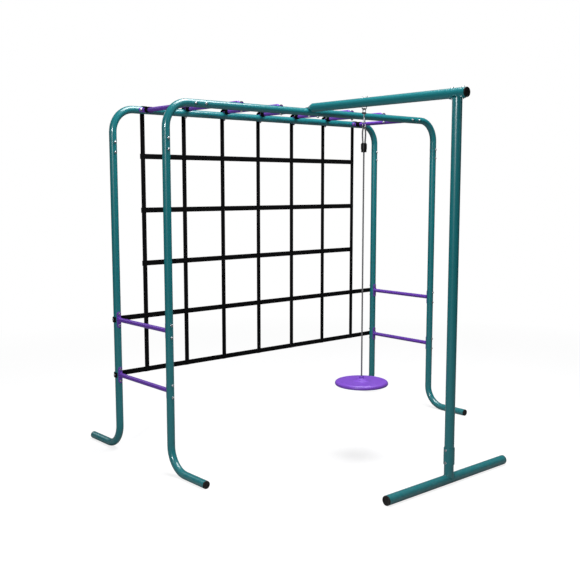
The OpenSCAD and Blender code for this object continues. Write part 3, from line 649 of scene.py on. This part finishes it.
@dataclass(frozen=True)
class Repeat:
    """Small rounded elements laid along lines: stitches or weld ripples."""

    pitch: float
    long: float
    thick: float
    jitter: float
    seed: int
    bead_sides: int = 6
    bead_rings: int = 4

    def lay(self, piece_name: str, lines: Sequence[Polyline],
            material: bpy.types.Material) -> bpy.types.Object:
        """Lay the elements along lines and return them as one plain mesh.

        Args:
            piece_name: name of the result.
            lines: the lines, in metres.
            material: what the elements are made of.

        Returns:
            The mesh object.
        """
        points: list[Vector] = []
        edges: list[tuple[int, int]] = []
        for line in lines:
            start = len(points)
            points += line
            edges += [(start + i, start + i + 1) for i in range(len(line) - 1)]
        mesh = bpy.data.meshes.new(piece_name + "_lines")
        mesh.from_pydata([tuple(p) for p in points], edges, [])
        host = stand(piece_name + "_lines", mesh)
        tree = self._tree()
        modifier = host.modifiers.new("repeat", "NODES")
        modifier.node_group = tree
        wanted = {"Pitch": self.pitch, "Length": self.long, "Thickness": self.thick,
                  "Jitter": self.jitter, "Seed": self.seed, "Material": material}
        for item in tree.interface.items_tree:
            if item.in_out == "INPUT" and item.name in wanted:
                modifier[item.identifier] = wanted[item.name]
        ready = host.evaluated_get(bpy.context.evaluated_depsgraph_get())
        result = bpy.data.meshes.new_from_object(ready)
        host.modifiers.remove(modifier)
        bpy.data.objects.remove(host)
        result.name = piece_name
        result.polygons.foreach_set("use_smooth", [True] * len(result.polygons))
        return stand(piece_name, result)

    def _tree(self) -> bpy.types.NodeTree:
        """Build the geometry tree, or return it if it is there already."""
        known = bpy.data.node_groups.get("repeat_on_path")
        if known:
            return known
        graph, given, result = new_group(
            "repeat_on_path",
            [GroupSocket("Geometry", "NodeSocketGeometry"), GroupSocket("Pitch"),
             GroupSocket("Length"), GroupSocket("Thickness"), GroupSocket("Jitter"),
             GroupSocket("Seed", "NodeSocketInt"),
             GroupSocket("Material", "NodeSocketMaterial")],
            [GroupSocket("Geometry", "NodeSocketGeometry")], "GeometryNodeTree")
        curve = graph.node("GeometryNodeMeshToCurve")
        places = graph.node("GeometryNodeCurveToPoints", mode="LENGTH")
        bead = graph.node("GeometryNodeMeshUVSphere")
        bead.inputs["Segments"].default_value = self.bead_sides
        bead.inputs["Rings"].default_value = self.bead_rings
        bead.inputs["Radius"].default_value = 0.5
        size = graph.node("ShaderNodeCombineXYZ")
        chance = graph.node("FunctionNodeRandomValue", data_type="FLOAT")
        scaled = graph.node("ShaderNodeVectorMath", operation="SCALE")
        laid = graph.node("GeometryNodeInstanceOnPoints")
        real = graph.node("GeometryNodeRealizeInstances")
        dressed = graph.node("GeometryNodeSetMaterial")
        least = graph.math("SUBTRACT", 1.0, given.outputs["Jitter"])
        most = graph.math("ADD", 1.0, given.outputs["Jitter"])
        for source, target in (
                (given.outputs["Geometry"], curve.inputs["Mesh"]),
                (curve.outputs["Curve"], places.inputs["Curve"]),
                (given.outputs["Pitch"], places.inputs["Length"]),
                (given.outputs["Thickness"], size.inputs["X"]),
                (given.outputs["Thickness"], size.inputs["Y"]),
                (given.outputs["Length"], size.inputs["Z"]),
                (least, chance.inputs[2]),
                (most, chance.inputs[3]),
                (given.outputs["Seed"], chance.inputs["Seed"]),
                (size.outputs[0], scaled.inputs[0]),
                (chance.outputs[1], scaled.inputs["Scale"]),
                (places.outputs["Points"], laid.inputs["Points"]),
                (bead.outputs["Mesh"], laid.inputs["Instance"]),
                (places.outputs["Rotation"], laid.inputs["Rotation"]),
                (scaled.outputs[0], laid.inputs["Scale"]),
                (laid.outputs["Instances"], real.inputs["Geometry"]),
                (real.outputs["Geometry"], dressed.inputs["Geometry"]),
                (given.outputs["Material"], dressed.inputs["Material"]),
                (dressed.outputs["Geometry"], result.inputs["Geometry"])):
            graph.put(source, target)
        return graph.tree


STITCH = Repeat(pitch=3.1 * MM, long=2.6 * MM, thick=0.75 * MM, jitter=0.12, seed=7)
WELD = Repeat(pitch=1.7 * MM, long=2.6 * MM, thick=3.4 * MM, jitter=0.1, seed=11)


# --------------------------------------------------------------- sub-assemblies


@dataclass
class TubeFrame:
    """The two bent portals, their legs, caps and fasteners."""

    site: Site
    seam_z: float = 1775 * MM
    seam_h: float = 0.8 * MM
    seam_proud: float = 0.05 * MM
    seam_sunk: float = 0.5 * MM
    seam_sides: int = 48

    def build(self, wardrobe: Wardrobe) -> None:
        """Make the shadow lines where the top tubes plug into the legs."""
        seams = Band()
        for x in (-self.site.leg_x, self.site.leg_x):
            for y in (self.site.front_y, self.site.back_y):
                self._ring(seams, Vector((x, y, self.seam_z)))
        wardrobe.dress(seams.piece("leg_seams"), TEAL_SEAM, "frame")

    def _ring(self, band: Band, centre: Vector) -> None:
        """Add one thin ring that stands just proud of the tube."""
        up = Z_AXIS * (self.seam_h / 2)
        line, rings = [], []
        for turn in around(self.seam_sides):
            out = Vector((math.cos(turn), math.sin(turn), 0))
            line.append(centre + TUBE_R * out)
            proud, sunk = out * self.seam_proud, -out * self.seam_sunk
            rings.append([proud + up, proud - up, sunk - up, sunk + up])
        band.sweep(line, rings, closed=True)

    def dress(self, wardrobe: Wardrobe) -> None:
        """Put paint, plastic and zinc on the CAD nodes."""
        legs = [f"{end}_{side}_leg" for end in ("front", "back") for side in ("left", "right")]
        wardrobe.dress_nodes(TEAL, ["front_top_tube", "back_top_tube", *legs])
        wardrobe.dress_nodes(BLACK, ["foot_end_caps"])
        wardrobe.dress_nodes(ZINC, ["leg_joint_bolts", "leg_joint_nuts"])


@dataclass
class Rungs:
    """Overhead rungs and side rails with their welded plates."""

    site: Site
    bead_r: float = 13.6 * MM
    bead_out: float = 0.4 * MM
    weld_steps: int = 40

    def build(self, wardrobe: Wardrobe) -> None:
        """Lay a weld round every tube that meets a saddle plate."""
        lines: list[Polyline] = []
        for x in (self.site.rung_xs[0], self.site.rung_xs[-1]):
            for y, way in ((self.site.front_y, 1), (self.site.back_y, -1)):
                lines.append(self._weld(Vector((x, y, self.site.rail_z)), way, Z_AXIS))
        for x in (-self.site.leg_x, self.site.leg_x):
            for z in self.site.side_rail_zs:
                for y, way in ((self.site.front_y, 1), (self.site.back_y, -1)):
                    lines.append(self._weld(Vector((x, y, z)), way, X_AXIS))
        made = WELD.lay("rail_welds", lines, wardrobe.material(PURPLE))
        wardrobe.dress(made, PURPLE, "frame")

    def _weld(self, centre: Vector, way: int, curved: Vector) -> Polyline:
        """Return the line where a rail meets a plate that wraps a tube.

        Args:
            centre: the point on the wrapped tube's axis.
            way: 1 or -1, the rail's direction along Y.
            curved: the direction across the wrapped tube.

        Returns:
            The closed line.
        """
        other = Y_AXIS.cross(curved)
        grow = self.bead_r / RAIL_R
        line = []
        for k in range(self.weld_steps + 1):
            turn = FULL_TURN * k / self.weld_steps
            across = RAIL_R * math.cos(turn)
            out = math.sqrt(PLATE_R ** 2 - across ** 2) + self.bead_out
            line.append(centre + curved * across * grow
                        + other * RAIL_R * math.sin(turn) * grow + Y_AXIS * way * out)
        return line

    def dress(self, wardrobe: Wardrobe) -> None:
        """Put paint, plastic and zinc on the CAD nodes."""
        rails = [f"{side}_{level}_side_rail" for side in ("left", "right")
                 for level in ("upper", "lower")]
        wardrobe.dress_nodes(PURPLE, [f"rung_{i}" for i in range(1, 8)] + rails)
        wardrobe.dress_nodes(BLACK, ["rung_bolt_caps"])
        wardrobe.dress_nodes(ZINC, ["rung_bolts", "rung_nuts", "end_rung_bolts",
                                    "end_rung_nuts", "side_rail_bolts", "side_rail_nuts"])


@dataclass(frozen=True)
class Step:
    """One stretch of a strap's route: a straight run, or a bend with a turn."""

    size: float
    turn: float = 0.0


SELVEDGE = ((-1.0, 0.0), (-0.97, 0.62), (-0.9, 0.92), (-0.45, 1.0), (0.0, 1.0),
            (0.45, 1.0), (0.9, 0.92), (0.97, 0.62), (1.0, 0.0), (0.97, -0.62),
            (0.9, -0.92), (0.45, -1.0), (0.0, -1.0), (-0.45, -1.0), (-0.9, -0.92),
            (-0.97, -0.62))


@dataclass
class ClimbingNet:
    """Webbing uprights and rows, their end loops and their stitching."""

    site: Site
    width: float = 30 * MM
    thick: float = 2.5 * MM
    upright_y: float = 21.5 * MM
    row_y: float = 24.0 * MM
    plain_rows: int = 3
    row_steps: int = 150
    run_step: float = 12 * MM
    bend_step: float = math.radians(6)
    loop_r: float = 12.6 * MM
    loop_steps: int = 36
    sewn: float = 1.0 * MM
    loop_start: float = 27.1 * MM
    loop_bend: float = 4 * MM
    loop_slack: float = 4 * MM
    mid_loop_start: float = 22 * MM
    hook_r: float = 24 * MM
    patch: float = 11.5 * MM
    side_reach: float = 17 * MM
    row_wrap: float = math.radians(130)
    hem_half: float = math.radians(40)
    hem_steps: int = 20
    hem_seams: tuple[float, ...] = (-35, -29, 29, 35)
    stitch_lines: list[Polyline] = field(default_factory=list)

    def build(self, wardrobe: Wardrobe) -> None:
        """Make every strap and its stitching."""
        for number, x in enumerate(self.site.rung_xs, start=1):
            band = Band()
            self._upright(band, number, x)
            wardrobe.dress(band.piece(f"upright_webbing_{number}"), WEBBING, "frame",
                           f"net_upright_{number}")
        for number, z in enumerate(self.site.row_zs, start=1):
            band = Band()
            if number <= self.plain_rows:
                self._plain_row(band, z)
            else:
                self._wrapped_row(band, z)
            wardrobe.dress(band.piece(f"row_webbing_{number}"), WEBBING, "frame",
                           f"net_row_{number}")
        for x in self.site.rung_xs:
            for z in self.site.row_zs:
                for out in (self.upright_y - HAIR, self.row_y + self.thick + HAIR):
                    self._box_stitch(Vector((x, self.site.back_y + out, z)), X_AXIS, Z_AXIS)
        made = STITCH.lay("net_stitching", self.stitch_lines, wardrobe.material(THREAD))
        wardrobe.dress(made, THREAD, "frame")

    def dress(self, wardrobe: Wardrobe) -> None:
        """Put zinc on the screws; the straps replace every other node of the net."""
        wardrobe.dress_nodes(ZINC, ["net_screws"])

    def _section(self, side: Vector, normal: Vector) -> list[Vector]:
        """Return the strap's section: flat, with thin rounded selvedges."""
        half, deep = self.width / 2, self.thick / 2
        return [side * (half * a) + normal * (deep * b) for a, b in SELVEDGE]

    def _route(self, steps: Sequence[Step]) -> list[tuple[float, float, float]]:
        """Follow a strap's steps from the origin, heading along its second axis.

        Args:
            steps: the runs and bends of the strap's inner face.

        Returns:
            Points of the strap's middle line with their headings.
        """
        at, heading = Vector((0.0, 0.0)), math.pi / 2
        found: list[tuple[Vector, float]] = [(at.copy(), heading)]
        for step in steps:
            if step.turn == 0:
                count = max(1, round(step.size / self.run_step))
                way = Vector((math.cos(heading), math.sin(heading)))
                found += [(at + way * step.size * k / count, heading)
                          for k in range(1, count + 1)]
                at = at + way * step.size
                continue
            r = step.size if step.turn > 0 else -step.size - self.thick
            hub = at + r * Vector((-math.sin(heading), math.cos(heading)))
            count = max(2, round(abs(step.turn) / self.bend_step))
            for k in range(1, count + 1):
                now = heading + step.turn * k / count
                found.append((hub + r * Vector((math.sin(now), -math.cos(now))), now))
            at, heading = found[-1]
        half = self.thick / 2
        return [(p.x + half * math.sin(h), p.y - half * math.cos(h), h) for p, h in found]

    def _wrap(self, run: float, r: float) -> list[Step]:
        """Return the steps of a run, round a tube of radius r and onto an end loop."""
        rise = self.loop_r + self.thick - self.sewn
        far = math.hypot(self.loop_start, rise)
        arc = math.pi - math.atan2(rise, self.loop_start) - math.acos(r / far)
        return [Step(run), Step(r, arc), Step(math.sqrt(far * far - r * r)),
                Step(self.loop_bend, math.pi / 2 - arc), Step(self.width + self.loop_slack)]

    def _upright(self, band: Band, number: int, x: float) -> None:
        """Add one upright, hung over the back rail, with its loop round the rung."""
        low = self.site.row_zs[-1] - self.width / 2
        run = self.site.rail_z - low
        if number in (1, len(self.site.rung_xs)):
            steps = self._wrap(run, self.upright_y)
            start, loop_z = self.loop_start, self.site.rail_z
        else:
            top = (self.site.rung_z - self.site.rail_z
                   + self.loop_r + self.thick - self.sewn)
            steps = [Step(run + top - self.hook_r), Step(self.hook_r, math.pi / 2),
                     Step(self.mid_loop_start + self.width + self.upright_y - self.hook_r)]
            start, loop_z = self.mid_loop_start, self.site.rung_z
        centres, sections = [], []
        for u, v, heading in self._route(steps):
            centres.append(Vector((x, self.site.back_y + self.upright_y + u, low + v)))
            normal = Vector((0, math.sin(heading), -math.cos(heading)))
            sections.append(self._section(X_AXIS, normal))
        band.sweep(centres, sections)
        self._loop(band, Vector((x, self.site.back_y - start - self.width / 2, loop_z)))
        on_top = centres[-1] + Vector((0, self.width / 2, self.thick / 2 + HAIR))
        self._box_stitch(on_top, X_AXIS, Y_AXIS)

    def _plain_row(self, band: Band, z: float) -> None:
        """Add one straight row."""
        reach = self.site.rung_xs[-1] + self.side_reach
        y = self.site.back_y + self.row_y + self.thick / 2
        centres = [Vector((-reach + 2 * reach * k / self.row_steps, y, z))
                   for k in range(self.row_steps + 1)]
        band.sweep(centres, [self._section(Z_AXIS, Y_AXIS)] * len(centres))

    def _wrapped_row(self, band: Band, z: float) -> None:
        """Add one row that wraps the outer sides of both back legs."""
        half = self._route([Step(self.site.leg_x), Step(self.row_y, self.row_wrap)])
        mirrored = [(u, -v, math.pi - heading) for u, v, heading in reversed(half[1:])]
        centres, sections = [], []
        for u, v, heading in mirrored + half:
            centres.append(Vector((-v, self.site.back_y + self.row_y + u, z)))
            normal = Vector((math.cos(heading), math.sin(heading), 0))
            sections.append(self._section(Z_AXIS, normal))
        band.sweep(centres, sections)
        for side in (-1, 1):
            self._hem(band, side, z)

    def _hem(self, band: Band, side: int, z: float) -> None:
        """Add the folded inner layer of a row's end, with its seams."""
        leg = Vector((side * self.site.leg_x, self.site.back_y, z))
        inner = self.upright_y + self.thick / 2
        outer = self.row_y + self.thick + HAIR
        centres, sections = [], []
        for k in range(self.hem_steps + 1):
            turn = self.hem_half * (2 * k / self.hem_steps - 1)
            out = Vector((side * math.cos(turn), math.sin(turn), 0))
            centres.append(leg + out * inner)
            sections.append(self._section(Z_AXIS, out))
        band.sweep(centres, sections)
        for degrees in self.hem_seams:
            turn = math.radians(degrees)
            on_face = leg + outer * Vector((side * math.cos(turn), math.sin(turn), 0))
            reach = Z_AXIS * self.patch
            self.stitch_lines.append([on_face - reach, on_face + reach])

    def _loop(self, band: Band, centre: Vector) -> None:
        """Add the sewn loop round a rail that runs along Y."""
        r = self.loop_r + self.thick / 2
        outs = [Vector((math.cos(t), 0, math.sin(t))) for t in around(self.loop_steps)]
        band.sweep([centre + out * r for out in outs],
                   [self._section(Y_AXIS, out) for out in outs], closed=True)

    def _box_stitch(self, centre: Vector, across: Vector, along: Vector) -> None:
        """Note the lines of a sewn box with its two diagonals."""
        a, b = across * self.patch, along * self.patch
        corners = [centre - a - b, centre + a - b, centre + a + b, centre - a + b]
        self.stitch_lines.append([*corners, corners[0]])
        self.stitch_lines.append([corners[0], corners[2]])
        self.stitch_lines.append([corners[1], corners[3]])


@dataclass
class SwingStand:
    """Arm, post, sleeve and cross foot."""

    site: Site
    bead_grows: float = 1.06
    saddle_gap: float = 3.1 * MM
    weld_steps: int = 60

    def build(self, wardrobe: Wardrobe) -> None:
        """Lay the welds at the post's saddle and at the stub of the cross foot."""
        saddle_r = ARM_R + self.saddle_gap
        wide = ARM_R * self.bead_grows
        top, low = [], []
        for k in range(self.weld_steps + 1):
            turn = FULL_TURN * k / self.weld_steps
            x, y = math.cos(turn), math.sin(turn)
            drop = math.sqrt(saddle_r ** 2 - (ARM_R * x) ** 2)
            across = (self.site.arm_x + wide * x, self.site.post_y + wide * y)
            top.append(Vector((*across, self.site.arm_z - drop)))
            low.append(Vector((*across, ARM_R * (1 + abs(x)))))
        made = WELD.lay("stand_welds", [top, low], wardrobe.material(TEAL))
        wardrobe.dress(made, TEAL, "frame")

    def dress(self, wardrobe: Wardrobe) -> None:
        """Put paint, plastic and zinc on the CAD nodes."""
        wardrobe.dress_nodes(TEAL, ["swing_arm", "swing_post", "post_sleeve", "cross_foot"])
        wardrobe.dress_nodes(BLACK, ["large_end_caps"])
        wardrobe.dress_nodes(ZINC, ["arm_bolts", "arm_nuts"])


# Routes in millimetres: distance from the swing's axis, then height above the
# adjuster's lower end for the first two, above its upper end for the last.
ROPE_ENTRY = ((0.0, 8), (1.8, 20))
DEAD_END = ((-8.0, 38), (-8.0, 26))
ROPE_BELLY = ((5.5, -20), (8.0, -8), (8.0, 0), (9.3, 12), (11.2, 32), (11.8, 50),
              (10.8, 66))
# Radius and height above the seat's lower face, in millimetres.
COLLAR_TOP = ((4.9, 50.5), (5.6, 51.6), (7, 52), (11.4, 52), (12.6, 51.3), (13, 50),
              (13, 42), (13.4, 39.5), (15, 37.2), (18, 35.9))
SEAT_DECK = ((50, 24), (90, 24), (118, 24), (124, 23.9))
SEAT_UNDER = ((136, 0), (134, 1.2), (133, 4), (30, 4), (28.5, 1), (27, 0), (6, 0),
              (4.9, 1))


@dataclass
class Swing:
    """Rope, adjuster, hook, hardware, disc seat and knot."""

    site: Site
    rope_d: float = 9 * MM
    rope_sides: int = 18
    rope_unit: float = 10 * MM
    rope_step: float = 2.2 * MM
    strands: int = 3
    strand_dip: float = 0.2
    lay_length: float = 30 * MM
    hook_z: float = 1835.5 * MM
    adjuster_top: float = 1755.5 * MM
    adjuster_low: float = 1705.5 * MM
    over_hook_r: float = 8.5 * MM
    hook_turn: float = 22.5
    hook_steps: int = 10
    straight_steps: int = 40
    straight_end: float = 4 * MM
    seat_sides: int = 128
    bend_steps: int = 8
    knot_steps: int = 120
    knot_sides: int = 14
    knot_scale: float = 2.75 * MM
    knot_lift: float = 2.4

    def rope(self, wardrobe: Wardrobe) -> None:
        """Make the laid rope from under the seat, over the hook and back."""
        line = self._rope_line()
        band, r = Band(), self.rope_d / 2
        reach, sections = 0.0, []
        for i, point in enumerate(line):
            if i:
                reach += (point - line[i - 1]).length
            ahead = line[min(i + 1, len(line) - 1)] - line[max(i - 1, 0)]
            other = ahead.normalized().cross(X_AXIS)
            turn = FULL_TURN * reach / self.lay_length
            section = []
            for angle in around(self.rope_sides):
                swell = abs(math.cos(self.strands / 2 * (angle - turn))) ** 0.6
                deep = r * (1 - self.strand_dip + self.strand_dip * swell)
                section.append(X_AXIS * deep * math.cos(angle)
                               + other * deep * math.sin(angle))
            sections.append(section)
        band.sweep(line, sections, unit=self.rope_unit)
        piece = band.piece("laid_rope")
        wardrobe.dress(piece, ROPE, "swing", "swing_rope")

    def _rope_line(self) -> Polyline:
        """Return the rope's route, as the CAD lays it, from the seat upwards."""
        seat_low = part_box("disc_seat")[0][2] / MM
        top, low = self.adjuster_top / MM, self.adjuster_low / MM
        hook, over = self.hook_z / MM, self.over_hook_r / MM
        end, steps = seat_low - HAIR / MM, self.straight_steps
        belly = [(out, top + rise) for out, rise in ROPE_BELLY]
        down = low - self.straight_end / MM - end
        route = [(0.0, end + k * down / steps) for k in range(steps + 1)]
        route += [(out, low + rise) for out, rise in ROPE_ENTRY]
        route += belly
        for k in range(self.hook_steps + 1):
            turn = math.radians(self.hook_turn * (k - 1))
            route.append((over * math.cos(turn), hook + over * math.sin(turn)))
        route += [(-u, z) for u, z in reversed(belly[2:])]
        route += [(out, low + rise) for out, rise in DEAD_END]
        rough = [Vector((self.site.arm_x, self.site.swing_y + u * MM, z * MM))
                 for u, z in route]
        line = [rough[0]]
        for a, b in zip(rough, rough[1:]):
            count = max(1, round((b - a).length / self.rope_step))
            line += [a.lerp(b, k / count) for k in range(1, count + 1)]
        return line

    def build(self, wardrobe: Wardrobe) -> None:
        """Make the seat and the knot under it."""
        self._seat(wardrobe)
        self._knot(wardrobe)

    def _seat_profile(self) -> list[tuple[float, float]]:
        """Return the seat's half section as radius and height, in millimetres."""
        seat_r, seat_t, upper, lower = 150, 24, 14, 10
        dome_r, dome_drop, dome_in, dome_wide = 95, 83.1, 18, 28
        steps = self.bend_steps
        profile = [*COLLAR_TOP]
        for k in range(1, steps + 1):
            r = dome_in + dome_wide * k / steps
            profile.append((r, seat_t - dome_drop + math.sqrt(dome_r ** 2 - r * r)))
        profile += SEAT_DECK
        for k in range(steps + 1):
            a = math.radians(90 - 90 * k / steps)
            profile.append((seat_r - upper + upper * math.cos(a),
                            seat_t - upper + upper * math.sin(a)))
        for k in range(1, steps + 1):
            a = math.radians(-90 * k / steps)
            profile.append((seat_r - lower + lower * math.cos(a),
                            lower + lower * math.sin(a)))
        return [*profile, *SEAT_UNDER]

    def _seat(self, wardrobe: Wardrobe) -> None:
        """Turn the disc seat: rounded rim, low dome, collar and hollow underside."""
        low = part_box("disc_seat")[0][2]
        profile = self._seat_profile()
        count, rows, points, faces = self.seat_sides, len(profile), [], []
        for turn in around(count):
            points += [(self.site.arm_x + r * MM * math.cos(turn),
                        self.site.swing_y + r * MM * math.sin(turn), low + z * MM)
                       for r, z in profile]
        for k in range(count):
            n = (k + 1) % count
            for i in range(rows):
                j = (i + 1) % rows
                faces.append((k * rows + i, n * rows + i, n * rows + j, k * rows + j))
        piece = new_piece("turned_seat", points, faces)
        face_outwards(piece)
        wardrobe.dress(piece, SEAT, "swing", "disc_seat")

    def _knot(self, wardrobe: Wardrobe) -> None:
        """Tie the stopper knot: one rope in a trefoil, drawn tight."""
        centre = Vector([middle(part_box("seat_knot"), a) for a in range(3)])
        count = self.knot_steps
        line = [centre + self.knot_scale * Vector((math.sin(t) + 2 * math.sin(2 * t),
                                                   math.cos(t) - 2 * math.cos(2 * t),
                                                   -self.knot_lift * math.sin(3 * t)))
                for t in around(count)]
        sections = []
        for i, point in enumerate(line):
            ahead = (line[(i + 1) % count] - line[i - 1]).normalized()
            out = (point - centre).cross(ahead).normalized()
            sections.append(ring(out, ahead.cross(out), self.rope_d / 2, self.knot_sides))
        band = Band()
        band.sweep(line, sections, closed=True, unit=self.rope_unit)
        wardrobe.dress(band.piece("stopper_knot"), ROPE, "swing", "seat_knot")

    def dress(self, wardrobe: Wardrobe) -> None:
        """Put plastic and zinc on the CAD nodes."""
        wardrobe.dress_nodes(BLACK, ["rope_adjuster"])
        wardrobe.dress_nodes(ZINC, ["swing_u_bolt", "u_bolt_nuts", "shackle", "shackle_pin",
                                    "swivel_eye", "snap_hook", "hook_gate"])


# --------------------------------------------------------------- studio


@dataclass(frozen=True)
class Lamp:
    """One square area light, aimed at the object's middle."""

    name: str
    at: Point
    watts: float
    size: float


LAMPS = (Lamp("front", (-5.6, -3.0, 2.9), 175.0, 0.6),
         Lamp("left", (-6.2, 0.2, 2.4), 6.0, 0.7),
         Lamp("fill", (3.0, -6.0, 3.0), 7.0, 2.0),
         Lamp("top", (0.2, -0.4, 4.8), 250.0, 2.6),
         Lamp("rim", (-1.5, 5.0, 3.2), 18.0, 2.0))


@dataclass(frozen=True)
class Studio:
    """Camera, pale floor and soft lights."""

    eye: Point = (-3.4663, -3.58335, 1.5159)
    yaw: float = -41.126
    pitch: float = 83.104
    lens: float = 52.75
    sensor: float = 36.0
    aim: Point = (0.0, 0.0, 0.9)
    sky_light: float = 0.05
    floor_colour: Colour = (0.26, 0.26, 0.264)
    floor_glow: float = 0.8
    floor_r: float = 60.0
    floor_sides: int = 96
    fade_from: float = 1.6
    fade_to: float = 5.0

    def camera(self) -> None:
        """Place the camera."""
        data = bpy.data.cameras.new("camera")
        data.lens, data.sensor_width = self.lens, self.sensor
        made = stand("camera", data)
        made.location = self.eye
        made.rotation_euler = (math.radians(self.pitch), 0.0, math.radians(self.yaw))
        bpy.context.scene.camera = made

    def lights(self) -> None:
        """Light the object softly from above and from the camera's side."""
        for lamp in LAMPS:
            data = bpy.data.lights.new(lamp.name, "AREA")
            data.energy, data.size = lamp.watts, lamp.size
            made = stand(lamp.name, data)
            made.location = lamp.at
            way = Vector(self.aim) - Vector(lamp.at)
            made.rotation_euler = way.to_track_quat("-Z", "Y").to_euler()
        bpy.context.scene.view_settings.view_transform = "Standard"

    def backdrop(self) -> None:
        """Make the sky plain white to look at, and dimmer as a light."""
        world = bpy.data.worlds.new("studio")
        world.use_nodes = True
        graph = Graph(world.node_tree)
        sky = world.node_tree.nodes["Background"]
        sky.inputs["Color"].default_value = (1.0, 1.0, 1.0, 1.0)
        ray = graph.node("ShaderNodeLightPath")
        graph.put(graph.span(ray.outputs["Is Camera Ray"], 0.0, 1.0, self.sky_light, 1.0),
                  sky.inputs["Strength"])
        bpy.context.scene.world = world

    def floor(self) -> None:
        """Lay the pale floor, which fades into the sky far away."""
        made = new_piece("floor", [(self.floor_r * math.cos(t), self.floor_r * math.sin(t), 0)
                                   for t in around(self.floor_sides)],
                         [tuple(range(self.floor_sides))])
        material = bpy.data.materials.new("floor_paper")
        material.use_nodes = True
        graph = Graph(material.node_tree)
        out = material.node_tree.nodes["Material Output"]
        shader = material.node_tree.nodes["Principled BSDF"]
        shader.inputs["Base Color"].default_value = (*self.floor_colour, 1.0)
        shader.inputs["Roughness"].default_value = 0.9
        shader.inputs["Specular IOR Level"].default_value = 0.1
        ray = graph.node("ShaderNodeLightPath")
        where = graph.node("ShaderNodeTexCoord")
        far = graph.node("ShaderNodeVectorMath", operation="LENGTH")
        graph.put(where.outputs["Object"], far.inputs[0])
        glow = graph.node("ShaderNodeEmission")
        graph.put(graph.math("MULTIPLY", ray.outputs["Is Camera Ray"], self.floor_glow),
                  glow.inputs["Strength"])
        lit = graph.node("ShaderNodeAddShader")
        graph.put(shader.outputs[0], lit.inputs[0])
        graph.put(glow.outputs[0], lit.inputs[1])
        white = graph.node("ShaderNodeEmission")
        blend = graph.node("ShaderNodeMixShader")
        away = graph.span(far.outputs["Value"], self.fade_from, self.fade_to, 0.0, 1.0)
        graph.put(graph.math("MULTIPLY", away, ray.outputs["Is Camera Ray"]),
                  blend.inputs[0])
        graph.put(lit.outputs[0], blend.inputs[1])
        graph.put(white.outputs[0], blend.inputs[2])
        graph.put(blend.outputs[0], out.inputs["Surface"])
        made.data.materials.append(material)


def main() -> None:
    """Build the studio and every sub-assembly, in order."""
    logging.basicConfig(level=logging.INFO, format="%(name)s: %(message)s")
    studio = Studio()
    studio.camera()
    site = Site.from_frame()
    wardrobe = Wardrobe()
    swing = Swing(site)
    swing.rope(wardrobe)
    for part in (TubeFrame(site), Rungs(site), ClimbingNet(site), SwingStand(site), swing):
        part.build(wardrobe)
        part.dress(wardrobe)
        log.info("finished %s", type(part).__name__)
    studio.lights()
    studio.backdrop()
    studio.floor()


if __name__ == "__main__":
    main()
